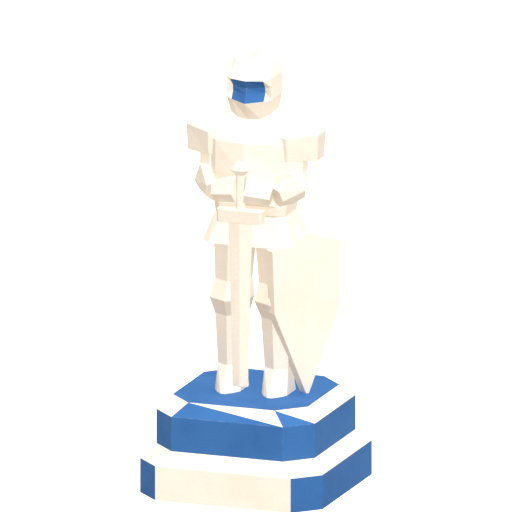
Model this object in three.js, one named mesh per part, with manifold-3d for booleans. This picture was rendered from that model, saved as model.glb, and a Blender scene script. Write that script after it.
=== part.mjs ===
// Life-size painted statue of an armoured knight on a stepped plinth.
// Millimetres, +Z up, the knight faces -Y. The origin is the middle of the underside.
import * as THREE from 'three';
import { ConvexGeometry } from 'three/addons/geometries/ConvexGeometry.js';
import { mergeVertices } from 'three/addons/utils/BufferGeometryUtils.js';
import Module from 'manifold-3d';

const wasm = await Module();
wasm.setup();

// Colours and finish
const CREAM = 0xfff4df;
const BLUE = 0x4a80c8;
const STONE_ROUGHNESS = 0.75;

// Clearance between touching pieces, and how far in front of the shield no leg stands out
const GAP = 0.3;
const LEG_CLEARANCE = 60;

// Plinth: two square courses with cut corners, each ending in a sloping weathering
const STEP_HEIGHT = 185;
const LOWER_STEP = { half: 505, corner: 130, slopeIn: 66, slopeUp: 69, topCorner: 130 };
const UPPER_STEP = { half: 439, corner: 130, slopeIn: 65, slopeUp: 68, topCorner: 135 };
const LOWER_TOP = STEP_HEIGHT + LOWER_STEP.slopeUp;
const PLINTH_TOP = LOWER_TOP + STEP_HEIGHT + UPPER_STEP.slopeUp;

// Legs: six-sided, an edge to the front. Heights are above the plinth.
const LEG_STATIONS = [
  { z: 880, x: 112, y: 0, radius: 118 },
  { z: 594, x: 121, y: -5, radius: 100 },
  { z: 497, x: 124, y: -24, radius: 120 },
  { z: 408, x: 127, y: -8, radius: 93 },
  { z: 138, x: 129, y: -10, radius: 75 },
];

// Shoes: half of the sole's outline from the narrow toe to the heel, flat on the plinth
const SHOE = {
  x: 129,
  outline: [[12, -155], [44, -122], [71, -76], [71, 58], [40, 84]],
};

// Torso stations from the skirt hem up to the neck. Each names the centre ridge, the front corner,
// the front and rear corners of the side, the back corner and the spine, as [x, y, z].
const TORSO_STATIONS = [
  [[0, -189, 813], [200, -179, 813], [252, -122, 813], [252, 130, 813], [200, 186, 813], [0, 192, 813]],
  [[0, -124, 966], [150, -122, 966], [195, -83, 966], [195, 90, 966], [150, 130, 966], [0, 132, 966]],
  [[0, -131, 975], [152, -129, 975], [195, -86, 975], [195, 92, 975], [152, 134, 975], [0, 136, 975]],
  [[0, -138, 1025], [158, -136, 1025], [200, -90, 1025], [200, 96, 1025], [158, 140, 1025], [0, 142, 1025]],
  [[0, -196, 1060], [154, -134, 1060], [198, -92, 1060], [196, 94, 1060], [154, 140, 1060], [0, 146, 1060]],
  [[0, -207, 1197], [171, -152, 1197], [211, -104, 1197], [211, 98, 1197], [160, 150, 1197], [0, 164, 1197]],
  [[0, -194, 1367], [171, -151, 1367], [211, -103, 1367], [211, 94, 1367], [160, 146, 1367], [0, 168, 1367]],
  [[0, -118, 1458], [170, -88, 1458], [176, 16, 1480], [166, 60, 1476], [120, 104, 1462], [0, 120, 1468]],
  [[0, -64, 1545], [50, -50, 1545], [92, 0, 1547], [92, 30, 1545], [60, 66, 1530], [0, 72, 1530]],
];
// The belly folds the other way from the rest of the torso
const BELLY_LEVEL = 4;

// Helmet stations from the jaw up to the crown. Each names the centre ridge, the corner of the face
// opening, the cheek edge, the side, the nape and the spine, as [x, y, z]. The two stations inside
// the face opening share the sides of the station below them.
const JAW_SIDE = [[140, 15, 1614], [112, 80, 1622], [0, 118, 1628]];
const HELMET_STATIONS = [
  [[0, -109, 1477], [62, -102, 1482], [109, -80, 1507], [125, 15, 1529], [100, 70, 1545], [0, 100, 1555]],
  [[0, -178, 1579], [89, -128, 1586], [125, -106, 1594], ...JAW_SIDE],
  [[0, -156, 1624], [90, -101, 1627], [125, -106, 1594], ...JAW_SIDE],
  [[0, -148, 1655], [89, -105, 1658], [123.2, -112.6, 1662], ...JAW_SIDE],
  [[0, -171, 1699], [92, -144, 1700], [122, -117, 1708], [140, 15, 1721], [112, 84, 1722], [0, 120, 1724]],
  [[0, -92, 1788], [85, -71, 1789], [108, -42, 1784], [99, 10, 1797], [78, 66, 1784], [0, 94, 1784]],
  [[0, -50, 1802], [60, -44, 1801], [72, -30, 1805], [78, -5, 1812], [56, 34, 1804], [0, 48, 1803]],
];

// Crest on the crown, a short keel
const CREST = {
  half: 14,
  halfTop: 12,
  base: [-84, 14, 1794],
  profile: [[-79, 1825], [-17, 1838], [7, 1824]],
};

// Shoulder guards: six-sided, an edge to the front, with a small plateau on top
const PAULDRON = {
  x: 215,
  frontLow: [217, -125, 1272],
  front: [215, -142, 1400],
  sideLow: 359,
  side: 366,
  cornerLow: -53,
  corner: -59,
  rearLow: 50,
  rear: 65,
  lowZ: 1273,
  sideZ: 1414,
  backLow: 130,
  back: 148,
  innerX: 66,
  top: [[238, -6, 1506], [258, 4, 1508], [258, 18, 1508], [244, 31, 1505], [218, 18, 1499], [217, 4, 1499]],
};

// Arms: six-sided tubes from the shoulder to the elbow, the cuff and the hand
const UPPER_ARM = { x: 216, yTop: -26, yLow: -31, zTop: 1330, zLow: 1209, radius: 80 };
const ELBOW_CORNERS = [
  [253, -135, 1204],
  [309, -90, 1120],
  [294, -63, 1074],
  [246, -96, 1045],
  [180, -70, 1080],
  [184, -98, 1155],
];
const CUFF = { centre: [169, -162, 1088], first: [155, -180, 1143], second: [201, -202, 1129] };
const WRIST = { centre: [154, -183, 1101], first: [169, -216, 1147], second: [163, -247, 1095] };
const KNUCKLES = { centre: [22, -220, 1134], first: [36, -249, 1184], second: [35, -283, 1115] };

// Sword: pommel, grip, guard and blade on one upright axis in front of the figure
const SWORD_Y = -237;
const GRIP_HALF = 23;
const POMMEL_STATIONS = [
  { z: 1214, halfX: 23, halfY: 23, cut: 10 },
  { z: 1241, halfX: 56, halfY: 34, cut: 24 },
  { z: 1282, halfX: 25, halfY: 12, cut: 7 },
];
const GUARD = { low: 956, high: 1027, halfX: 125, front: -267, back: -209, cut: 12, lean: 8 };
const BLADE = { shoulder: 960, bend: 214, end: 74, halfShoulder: 68, halfBend: 45, thick: 17, thickBend: 12 };

// Shield: a flat heater shield standing on its point, turned to the figure's left
const SHIELD = {
  x: 284,
  y: 5,
  turn: 52.7,
  thick: 62,
  halfTop: 217,
  halfShoulder: 203,
  halfPoint: 9,
  shoulder: 451,
  corner: 792,
  peak: 861,
};

const vec = (x, y, z) => new THREE.Vector3(x, y, z);
const radians = THREE.MathUtils.degToRad;

// A closed skin over rings of equal count, listed from the bottom to the top. A four-sided patch is
// folded from its upper left to its lower right corner, or the other way where folds says so.
function loft(rings, folds = []) {
  const triangles = [];
  const addTriangle = (a, b, c) => {
    const area = b.clone().sub(a).cross(c.clone().sub(a)).length();
    if (area > 1e-3) triangles.push(a, b, c);
  };
  for (let level = 0; level < rings.length - 1; level += 1) {
    const low = rings[level];
    const high = rings[level + 1];
    for (let i = 0; i < low.length; i += 1) {
      const next = (i + 1) % low.length;
      if (folds[level]) {
        addTriangle(low[i], low[next], high[next]);
        addTriangle(low[i], high[next], high[i]);
      } else {
        addTriangle(low[i], low[next], high[i]);
        addTriangle(low[next], high[next], high[i]);
      }
    }
  }
  const cap = (ring, flip) => {
    const middle = ring.reduce((sum, p) => sum.add(p), vec(0, 0, 0)).divideScalar(ring.length);
    ring.forEach((p, i) => {
      const q = ring[(i + 1) % ring.length];
      if (flip) addTriangle(middle, q, p);
      else addTriangle(middle, p, q);
    });
  };
  cap(rings[0], true);
  cap(rings[rings.length - 1], false);
  return solidFrom(new THREE.BufferGeometry().setFromPoints(triangles));
}

// The same skin on the given side of the body, 1 for the figure's left and -1 for its right. The
// folds keep turning the same way round on both sides.
function sided(side, rings) {
  if (side > 0) return loft(rings);
  return loft(rings.map((ring) => ring.map((p) => vec(-p.x, p.y, p.z)).reverse()));
}

// A boolean solid from a closed triangle skin
function solidFrom(geometry) {
  const merged = mergeVertices(geometry, 1e-3);
  const mesh = new wasm.Mesh({
    numProp: 3,
    vertProperties: new Float32Array(merged.attributes.position.array),
    triVerts: new Uint32Array(merged.index.array),
  });
  return new wasm.Manifold(mesh);
}

// The geometry of a boolean solid
function geometryFrom(solid) {
  const mesh = solid.getMesh();
  const geometry = new THREE.BufferGeometry();
  geometry.setAttribute('position', new THREE.BufferAttribute(new Float32Array(mesh.vertProperties), 3));
  geometry.setIndex(new THREE.BufferAttribute(new Uint32Array(mesh.triVerts), 1));
  return geometry;
}

// The convex solid around a set of points
function hull(points) {
  const geometry = new ConvexGeometry(points);
  geometry.deleteAttribute('normal');
  geometry.deleteAttribute('uv');
  return solidFrom(geometry);
}

// The same hull on the given side of the body
function sidedHull(side, points) {
  return hull(points.map((p) => vec(side * p.x, p.y, p.z)));
}

// A ring from its right-hand half, front to back, and the mirror image of that half
function mirrored(half) {
  const left = half
    .filter((p) => p.x !== 0)
    .map((p) => vec(-p.x, p.y, p.z))
    .reverse();
  return [...half, ...left];
}

// A level six-sided ring with a corner to the front
function hexagon(x, y, z, radius) {
  return Array.from({ length: 6 }, (_, i) => {
    const angle = radians(-90 + 60 * i);
    return vec(x + radius * Math.cos(angle), y + radius * Math.sin(angle), z);
  });
}

// The six corners of a hexagon from its centre and two neighbouring corners
function hexagonFrom({ centre, first, second }) {
  const c = vec(...centre);
  const a = vec(...first).sub(c);
  const b = vec(...second).sub(c);
  const spokes = [a, b, b.clone().sub(a), a.clone().negate(), b.clone().negate(), a.clone().sub(b)];
  return spokes.map((spoke) => spoke.add(c));
}

// A level rectangle with cut corners
function cutSquare(halfX, halfY, cut, z, y = 0) {
  const quarter = [
    [halfX - cut, -halfY],
    [halfX, -halfY + cut],
    [halfX, halfY - cut],
    [halfX - cut, halfY],
  ];
  return mirrored(quarter.map(([px, py]) => vec(px, y + py, z)));
}

// One course of the plinth with its weathering, standing on its own underside
function plinthStep({ half, corner, slopeIn, slopeUp, topCorner }) {
  return loft([
    cutSquare(half, half, corner, 0),
    cutSquare(half, half, corner, STEP_HEIGHT),
    cutSquare(half - slopeIn, half - slopeIn, topCorner, STEP_HEIGHT + slopeUp),
  ]);
}

// A leg from the ankle up into the skirt
function leg(side) {
  const rings = LEG_STATIONS.map((s) => hexagon(side * s.x, s.y, s.z, s.radius));
  return loft(rings.reverse());
}

// The foot, from the sole to the lowest ring of the leg. Each corner of the sole runs up to one
// corner of the ankle.
function shoe(side) {
  const ankle = LEG_STATIONS[LEG_STATIONS.length - 1];
  const sole = mirrored(SHOE.outline.map(([x, y]) => vec(x, y, 0))).map((p) => p.setX(p.x + side * SHOE.x));
  const top = hexagon(side * ankle.x, ankle.y, ankle.z, ankle.radius);
  const cornerAbove = [0, 0, 1, 2, 3, 3, 4, 5, 5, 0];
  return loft([sole, cornerAbove.map((i) => top[i].clone())]);
}

// The torso and skirt, with the walls and the hem moved out by grow
function torso(grow = 0) {
  const spread = ([x, y, z], level) =>
    vec(x + Math.sign(x) * grow, y + Math.sign(y) * grow, level === 0 ? z - grow : z);
  const rings = TORSO_STATIONS.map((half, level) => mirrored(half.map((p) => spread(p, level))));
  const folds = rings.map((ring, level) => level === BELLY_LEVEL);
  return loft(rings, folds);
}

// The closed helmet with its face opening cut in as two inward steps
function helmet() {
  return loft(HELMET_STATIONS.map((half) => mirrored(half.map((p) => vec(...p)))));
}

// The keel on the crown
function crest() {
  const { half, halfTop, base, profile } = CREST;
  const [front, back, z] = base;
  const foot = [-half, half].flatMap((x) => [vec(x, front, z), vec(x, back, z)]);
  const keel = [-halfTop, halfTop].flatMap((x) => profile.map(([y, top]) => vec(x, y, top)));
  return hull([...foot, ...keel]);
}

// A shoulder guard, open to the arm below and run into the chest at its inner side
function pauldron(side) {
  const p = PAULDRON;
  const low = [
    vec(...p.frontLow),
    vec(p.sideLow, p.cornerLow, p.lowZ),
    vec(p.sideLow, p.rearLow, p.lowZ),
    vec(p.x, p.backLow, p.lowZ),
    vec(p.innerX, p.rearLow, p.lowZ),
    vec(p.innerX, p.cornerLow, p.lowZ),
  ];
  const high = [
    vec(...p.front),
    vec(p.side, p.corner, p.sideZ),
    vec(p.side, p.rear, p.sideZ),
    vec(p.x, p.back, p.sideZ),
    vec(p.innerX, p.rear, p.sideZ),
    vec(p.innerX, p.corner, p.sideZ),
  ];
  return sided(side, [low, high, p.top.map((q) => vec(...q))]);
}

// An arm from the shoulder to the fist, run together from four solids
function arm(side) {
  const a = UPPER_ARM;
  const upperLow = hexagon(a.x, a.yLow, a.zLow, a.radius);
  const upper = sided(side, [upperLow, hexagon(a.x, a.yTop, a.zTop, a.radius)]);
  const elbow = ELBOW_CORNERS.map((p) => vec(...p));
  const bend = sidedHull(side, [...elbow, ...upperLow]);
  const forearm = sidedHull(side, [...elbow, ...hexagonFrom(CUFF)]);
  const hand = sidedHull(side, [...hexagonFrom(WRIST), ...hexagonFrom(KNUCKLES)]);
  return upper.add(bend).add(forearm).add(hand);
}

// The sword, with every face moved out by grow
function sword(grow = 0) {
  const b = BLADE;
  const diamond = (z, half, thick) => [
    vec(0, SWORD_Y - thick - grow, z),
    vec(half + grow, SWORD_Y, z),
    vec(0, SWORD_Y + thick + grow, z),
    vec(-half - grow, SWORD_Y, z),
  ];
  const blade = loft([
    diamond(b.end - grow, b.halfBend, b.thickBend),
    diamond(b.bend, b.halfBend, b.thickBend),
    diamond(b.shoulder + 20, b.halfShoulder, b.thick),
  ]);
  const g = GUARD;
  const guardRing = (z, shift) =>
    mirrored([
      vec(g.halfX - g.cut + grow, g.front + shift - grow, z),
      vec(g.halfX + grow, g.front + g.cut + shift - grow, z),
      vec(g.halfX + grow, g.back + grow, z),
    ]);
  const guard = loft([guardRing(g.low - grow, g.lean / 2), guardRing(g.high + grow, -g.lean / 2)]);
  const gripCut = GRIP_HALF * 2 - GRIP_HALF * Math.SQRT2;
  const grip = loft([
    cutSquare(GRIP_HALF + grow, GRIP_HALF + grow, gripCut, g.high - 20, SWORD_Y),
    cutSquare(GRIP_HALF + grow, GRIP_HALF + grow, gripCut, POMMEL_STATIONS[0].z + 10, SWORD_Y),
  ]);
  const pommel = loft(
    POMMEL_STATIONS.map((s) => cutSquare(s.halfX + grow, s.halfY + grow, s.cut, s.z, SWORD_Y)),
  );
  return blade.add(guard).add(grip).add(pommel);
}

// The shield, with every face moved out by grow and its front by more where forward says so
function shield(grow = 0, forward = grow) {
  const s = SHIELD;
  const outline = [
    [-s.halfPoint - grow, 0],
    [s.halfPoint + grow, 0],
    [s.halfShoulder + grow, s.shoulder],
    [s.halfTop + grow, s.corner + grow],
    [0, s.peak + grow],
    [-s.halfTop - grow, s.corner + grow],
    [-s.halfShoulder - grow, s.shoulder],
  ];
  const turn = radians(s.turn);
  const along = vec(Math.cos(turn), Math.sin(turn), 0);
  const outward = vec(Math.sin(turn), -Math.cos(turn), 0);
  const plate = (depth) =>
    outline.map(([u, z]) => vec(s.x, s.y, z).addScaledVector(along, u).addScaledVector(outward, depth));
  return loft([plate(-s.thick - grow), plate(forward)]);
}

// The whole figure in one solid, with room for the shield and the sword
function figure() {
  const pair = (make) => make(1).add(make(-1));
  const legs = pair(leg).add(pair(shoe)).subtract(shield(GAP, LEG_CLEARANCE));
  const upper = torso().add(helmet()).add(crest()).add(pair(pauldron)).add(pair(arm));
  return legs.add(upper).subtract(sword(GAP));
}

// A named piece in its own painted stone
function piece(name, solid, colour) {
  const material = new THREE.MeshStandardMaterial({ color: colour, roughness: STONE_ROUGHNESS, metalness: 0 });
  material.flatShading = true;
  const mesh = new THREE.Mesh(geometryFrom(solid), material);
  mesh.name = name;
  return mesh;
}

const lowerStep = piece('plinth_lower_step', plinthStep(LOWER_STEP), CREAM);
const upperStep = piece('plinth_upper_step', plinthStep(UPPER_STEP), BLUE);
upperStep.position.z = LOWER_TOP + GAP;

const onPlinth = new THREE.Group();
onPlinth.position.z = PLINTH_TOP + 2 * GAP;
onPlinth.add(piece('knight_figure', figure(), CREAM));
onPlinth.add(piece('sword', sword(), CREAM));
onPlinth.add(piece('shield', shield().subtract(torso(GAP)), CREAM));

const statue = new THREE.Group();
statue.add(lowerStep, upperStep, onPlinth);

export default statue;
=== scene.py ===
"""Looks for the knight statue: painted cast stone with softened arrises, in even studio light."""

import math

import bmesh
import bpy
from mathutils import Euler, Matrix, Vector


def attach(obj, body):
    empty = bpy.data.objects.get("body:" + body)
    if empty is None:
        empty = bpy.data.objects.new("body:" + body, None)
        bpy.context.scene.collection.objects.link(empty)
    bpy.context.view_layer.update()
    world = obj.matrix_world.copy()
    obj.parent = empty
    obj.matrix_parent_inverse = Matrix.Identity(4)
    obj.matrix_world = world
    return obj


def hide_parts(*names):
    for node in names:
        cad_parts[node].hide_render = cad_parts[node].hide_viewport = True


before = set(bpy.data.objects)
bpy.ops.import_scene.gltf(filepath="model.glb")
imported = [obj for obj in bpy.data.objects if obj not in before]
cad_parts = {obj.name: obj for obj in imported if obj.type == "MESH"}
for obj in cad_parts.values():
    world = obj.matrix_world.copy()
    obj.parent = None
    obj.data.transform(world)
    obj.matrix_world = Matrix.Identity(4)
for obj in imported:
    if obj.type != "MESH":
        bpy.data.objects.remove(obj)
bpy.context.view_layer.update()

MM = 0.001

# How far the casting's arrises are rounded over, and the least fold that counts as an arris
ARRIS_WIDTH = 2.2 * MM
ARRIS_FOLD = math.radians(7)

# Where the paint changes, above the floor
PLINTH_TOP = 507.3 * MM
UPPER_EAVES = 439.3 * MM
VISOR_BOTTOM = 2082.6 * MM
VISOR_TOP = 2211.6 * MM
VISOR_HALF_WIDTH = 92.6 * MM
VISOR_FRONT = -98 * MM

# Paints: the coat, the tone that it clouds to, and its dullness
CREAM = {"coat": "#F0E7DA", "cloud": "#EBE0D0", "roughness": 0.80}
BLUE = {"coat": "#3A6CA7", "cloud": "#34639C", "roughness": 0.74}
STONE = "#D9CDB8"

# Real sizes of the pattern in the paint. The sand in the stone is 1 to 2 mm, drawn coarser to show.
CLOUD_SIZE = 180
DRAG_SIZE = 60
SCUFF_SIZE = 35
SAND_SIZE = 9
WEAR_WIDTH = 7 * MM

# The picture: the camera's direction and frame, and the way to the key light
CAMERA_AZIMUTH = 20
CAMERA_ELEVATION = 15
PICTURE_SIDE = 2.6624
PICTURE_MIDDLE = 1.2236
CAMERA_DISTANCE = 12
KEY_DIRECTION = (0.331, -0.468, 0.819)
KEY_RADIANCE = (3.39, 3.47, 3.62)
FILL_RADIANCE = (0.750, 0.690, 0.613, 1.0)


# Materials


def linear(hex_colour):
    """An sRGB hex colour as linear RGBA."""
    channels = [int(hex_colour[i : i + 2], 16) / 255 for i in (1, 3, 5)]
    return [c / 12.92 if c <= 0.04045 else ((c + 0.055) / 1.055) ** 2.4 for c in channels] + [1.0]


def grain_scale(size_mm):
    """The Noise scale that gives features of a real size on Object coordinates in metres."""
    return 1000 / size_mm


def add(tree, kind, inputs=None, **settings):
    """Adds a node with its settings. Each input is a value, or an output socket to link."""
    node = tree.nodes.new(kind)
    for name, value in settings.items():
        setattr(node, name, value)
    for name, value in (inputs or {}).items():
        if isinstance(value, bpy.types.NodeSocket):
            tree.links.new(value, node.inputs[name])
        else:
            node.inputs[name].default_value = value
    return node


def clouded_coat(tree, clouds, coat, cloud):
    """The colour of the coat, thinner in some patches."""
    patches = add(
        tree,
        "ShaderNodeMapRange",
        {"Value": clouds, "From Min": 0.40, "From Max": 0.68, "To Max": 0.75},
    )
    mixed = add(
        tree,
        "ShaderNodeMix",
        {"Factor": patches.outputs["Result"], "A": linear(coat), "B": linear(cloud)},
        data_type="RGBA",
    )
    return mixed.outputs["Result"]


def worn_arrises(tree, place, colour):
    """The colour, scuffed through to the stone here and there along the arrises."""
    # The arrises are where the rounded normal leaves the flat one
    rounded = add(tree, "ShaderNodeBevel", {"Radius": WEAR_WIDTH}, samples=6)
    flat = add(tree, "ShaderNodeNewGeometry").outputs["True Normal"]
    turn = add(tree, "ShaderNodeVectorMath", {0: rounded.outputs["Normal"], 1: flat}, operation="DOT_PRODUCT")
    arris = add(
        tree,
        "ShaderNodeMapRange",
        {"Value": turn.outputs["Value"], "From Min": 0.995, "From Max": 0.90, "To Max": 1.0},
    )
    scuffs = add(
        tree,
        "ShaderNodeTexNoise",
        {"Vector": place, "Scale": grain_scale(SCUFF_SIZE), "Detail": 5.0, "Roughness": 0.7},
    )
    rubbed = add(
        tree,
        "ShaderNodeMapRange",
        {"Value": scuffs.outputs["Fac"], "From Min": 0.46, "From Max": 0.62, "To Max": 0.55},
    )
    wear = add(
        tree,
        "ShaderNodeMath",
        {0: arris.outputs["Result"], 1: rubbed.outputs["Result"]},
        operation="MULTIPLY",
    )
    worn = add(
        tree,
        "ShaderNodeMix",
        {"Factor": wear.outputs["Value"], "A": colour, "B": linear(STONE)},
        data_type="RGBA",
    )
    return worn.outputs["Result"]


def sanded_colour(tree, sand, colour):
    """The colour with each grain of sand catching or losing a little light."""
    speck = add(
        tree,
        "ShaderNodeMapRange",
        {"Value": sand, "From Min": 0.3, "From Max": 0.7, "To Min": 0.955, "To Max": 1.03},
    )
    sanded = add(
        tree,
        "ShaderNodeVectorMath",
        {0: colour, "Scale": speck.outputs["Result"]},
        operation="SCALE",
    )
    return sanded.outputs["Vector"]


def sandy_relief(tree, place, sand):
    """The drag of the brush over the uneven casting, and the sandy tooth on top of it."""
    drag = add(tree, "ShaderNodeTexNoise", {"Vector": place, "Scale": grain_scale(DRAG_SIZE), "Detail": 2.0})
    uneven = add(
        tree,
        "ShaderNodeBump",
        {"Height": drag.outputs["Fac"], "Strength": 0.35, "Distance": 1.5 * MM},
    )
    tooth = add(
        tree,
        "ShaderNodeBump",
        {"Height": sand, "Strength": 0.5, "Distance": 0.8 * MM, "Normal": uneven.outputs["Normal"]},
    )
    return tooth.outputs["Normal"]


def masonry_paint(name, coat, cloud, roughness):
    """Masonry paint brushed on cast stone.

    The coat is matt and thin. It clouds slightly from one hand's width to the next, keeps the sandy
    tooth of the stone below it, and is rubbed through to the stone in places along the arrises.
    """
    material = bpy.data.materials.new(name)
    material.use_nodes = True
    tree = material.node_tree
    tree.nodes.clear()
    place = add(tree, "ShaderNodeTexCoord").outputs["Object"]
    clouds = add(
        tree,
        "ShaderNodeTexNoise",
        {"Vector": place, "Scale": grain_scale(CLOUD_SIZE), "Detail": 4.0},
    ).outputs["Fac"]
    sand = add(
        tree,
        "ShaderNodeTexNoise",
        {"Vector": place, "Scale": grain_scale(SAND_SIZE), "Detail": 3.0, "Roughness": 0.6},
    ).outputs["Fac"]
    colour = worn_arrises(tree, place, clouded_coat(tree, clouds, coat, cloud))
    dullness = add(
        tree,
        "ShaderNodeMapRange",
        {"Value": clouds, "To Min": roughness - 0.06, "To Max": roughness + 0.06},
    )
    shader = add(
        tree,
        "ShaderNodeBsdfPrincipled",
        {
            "Base Color": sanded_colour(tree, sand, colour),
            "Roughness": dullness.outputs["Result"],
            "IOR": 1.5,
            "Specular IOR Level": 0.12,
            "Normal": sandy_relief(tree, place, sand),
        },
    )
    add(tree, "ShaderNodeOutputMaterial", {"Surface": shader.outputs["BSDF"]})
    return material


def studio_vinyl():
    """A white vinyl floor, so evenly lit that it glows a little."""
    material = bpy.data.materials.new("white_studio_vinyl")
    material.use_nodes = True
    shader = material.node_tree.nodes["Principled BSDF"]
    shader.inputs["Base Color"].default_value = linear("#F6F6F6")
    shader.inputs["Roughness"].default_value = 0.9
    shader.inputs["Emission Color"].default_value = linear("#FFFFFF")
    shader.inputs["Emission Strength"].default_value = 0.35
    return material


# Pieces


def painted_copy(name, node_name, is_blue, paints):
    """A merged copy of a CAD node with its areas of paint marked and its arrises rounded over."""
    piece = bpy.data.objects.new(name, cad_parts[node_name].data.copy())
    bpy.context.scene.collection.objects.link(piece)
    piece.data.materials.clear()
    for paint in paints:
        piece.data.materials.append(paint)

    shape = bmesh.new()
    shape.from_mesh(piece.data)
    bmesh.ops.remove_doubles(shape, verts=shape.verts, dist=0.05 * MM)
    shape.normal_update()
    for face in shape.faces:
        face.material_index = 1 if is_blue(face) else 0
        face.smooth = False
    bmesh.ops.dissolve_limit(
        shape,
        angle_limit=math.radians(0.3),
        verts=shape.verts,
        edges=shape.edges,
        delimit={"MATERIAL"},
    )
    arrises = [e for e in shape.edges if len(e.link_faces) == 2 and e.calc_face_angle() > ARRIS_FOLD]
    bmesh.ops.bevel(
        shape,
        geom=arrises,
        offset=ARRIS_WIDTH,
        segments=2,
        profile=0.5,
        affect="EDGES",
        material=-1,
        clamp_overlap=False,
        loop_slide=True,
    )
    bmesh.ops.triangulate(shape, faces=shape.faces)
    shape.to_mesh(piece.data)
    shape.free()

    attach(piece, "root")
    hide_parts(node_name)


def lower_step_blue(face):
    """Every wall but the front one."""
    return -0.5 < face.normal.z < 0.1 and face.normal.y > -0.9


def upper_step_blue(face):
    """The walls, the top, and one three-cornered field each on the front and front corner slopes."""
    height = face.calc_center_median().z
    if face.normal.z < 0.1 or height > PLINTH_TOP - 1 * MM:
        return True
    low_half = height < (UPPER_EAVES + PLINTH_TOP) / 2
    return low_half and face.normal.y < -0.3 and face.normal.x > -0.1


def visor_blue(face):
    """The inward steps of the face opening."""
    return all(
        abs(v.co.x) < VISOR_HALF_WIDTH and v.co.y < VISOR_FRONT and VISOR_BOTTOM < v.co.z < VISOR_TOP
        for v in face.verts
    )


def never_blue(face):
    """Cream all over."""
    return False


def paint_statue():
    """Both courses of the plinth, the knight, the sword and the shield."""
    paints = [masonry_paint("cream_masonry_paint", **CREAM), masonry_paint("blue_masonry_paint", **BLUE)]
    painted_copy("plinth_lower_course", "plinth_lower_step", lower_step_blue, paints)
    painted_copy("plinth_upper_course", "plinth_upper_step", upper_step_blue, paints)
    painted_copy("armoured_figure", "knight_figure", visor_blue, paints)
    painted_copy("grounded_sword", "sword", never_blue, paints)
    painted_copy("standing_shield", "shield", never_blue, paints)


# Studio


def lay_floor():
    """A wide level floor just under the plinth. It gives no bounce, so the fill stays even."""
    shape = bmesh.new()
    bmesh.ops.create_grid(shape, x_segments=1, y_segments=1, size=40)
    bmesh.ops.translate(shape, verts=shape.verts, vec=(0, 0, -0.5 * MM))
    mesh = bpy.data.meshes.new("studio_floor")
    shape.to_mesh(mesh)
    shape.free()
    mesh.materials.append(studio_vinyl())
    floor = bpy.data.objects.new("studio_floor", mesh)
    floor.visible_diffuse = False
    bpy.context.scene.collection.objects.link(floor)


def light_studio():
    """An even warm fill, and a soft cooler key that throws no shadow."""
    world = bpy.data.worlds.new("even_studio")
    world.use_nodes = True
    fill = world.node_tree.nodes["Background"]
    fill.inputs["Color"].default_value = FILL_RADIANCE
    fill.inputs["Strength"].default_value = 1.0
    bpy.context.scene.world = world

    key = bpy.data.lights.new("key_softbox", "SUN")
    key.energy = 1.0
    key.color = KEY_RADIANCE
    key.angle = math.radians(40)
    key.use_shadow = False
    lamp = bpy.data.objects.new("key_softbox", key)
    lamp.rotation_euler = Vector(KEY_DIRECTION).to_track_quat("Z", "Y").to_euler()
    bpy.context.scene.collection.objects.link(lamp)


def set_camera():
    """A view without perspective from the figure's left and a little above."""
    lens = bpy.data.cameras.new("studio_camera")
    lens.type = "ORTHO"
    lens.ortho_scale = PICTURE_SIDE
    lens.clip_end = 60
    camera = bpy.data.objects.new("studio_camera", lens)
    camera.rotation_euler = Euler((math.radians(90 - CAMERA_ELEVATION), 0, math.radians(CAMERA_AZIMUTH)))
    back = camera.rotation_euler.to_matrix() @ Vector((0, 0, CAMERA_DISTANCE))
    camera.location = Vector((0, 0, PICTURE_MIDDLE)) + back
    bpy.context.scene.collection.objects.link(camera)
    bpy.context.scene.camera = camera


paint_statue()
lay_floor()
light_studio()
set_camera()
bpy.context.scene.view_settings.view_transform = "Standard"
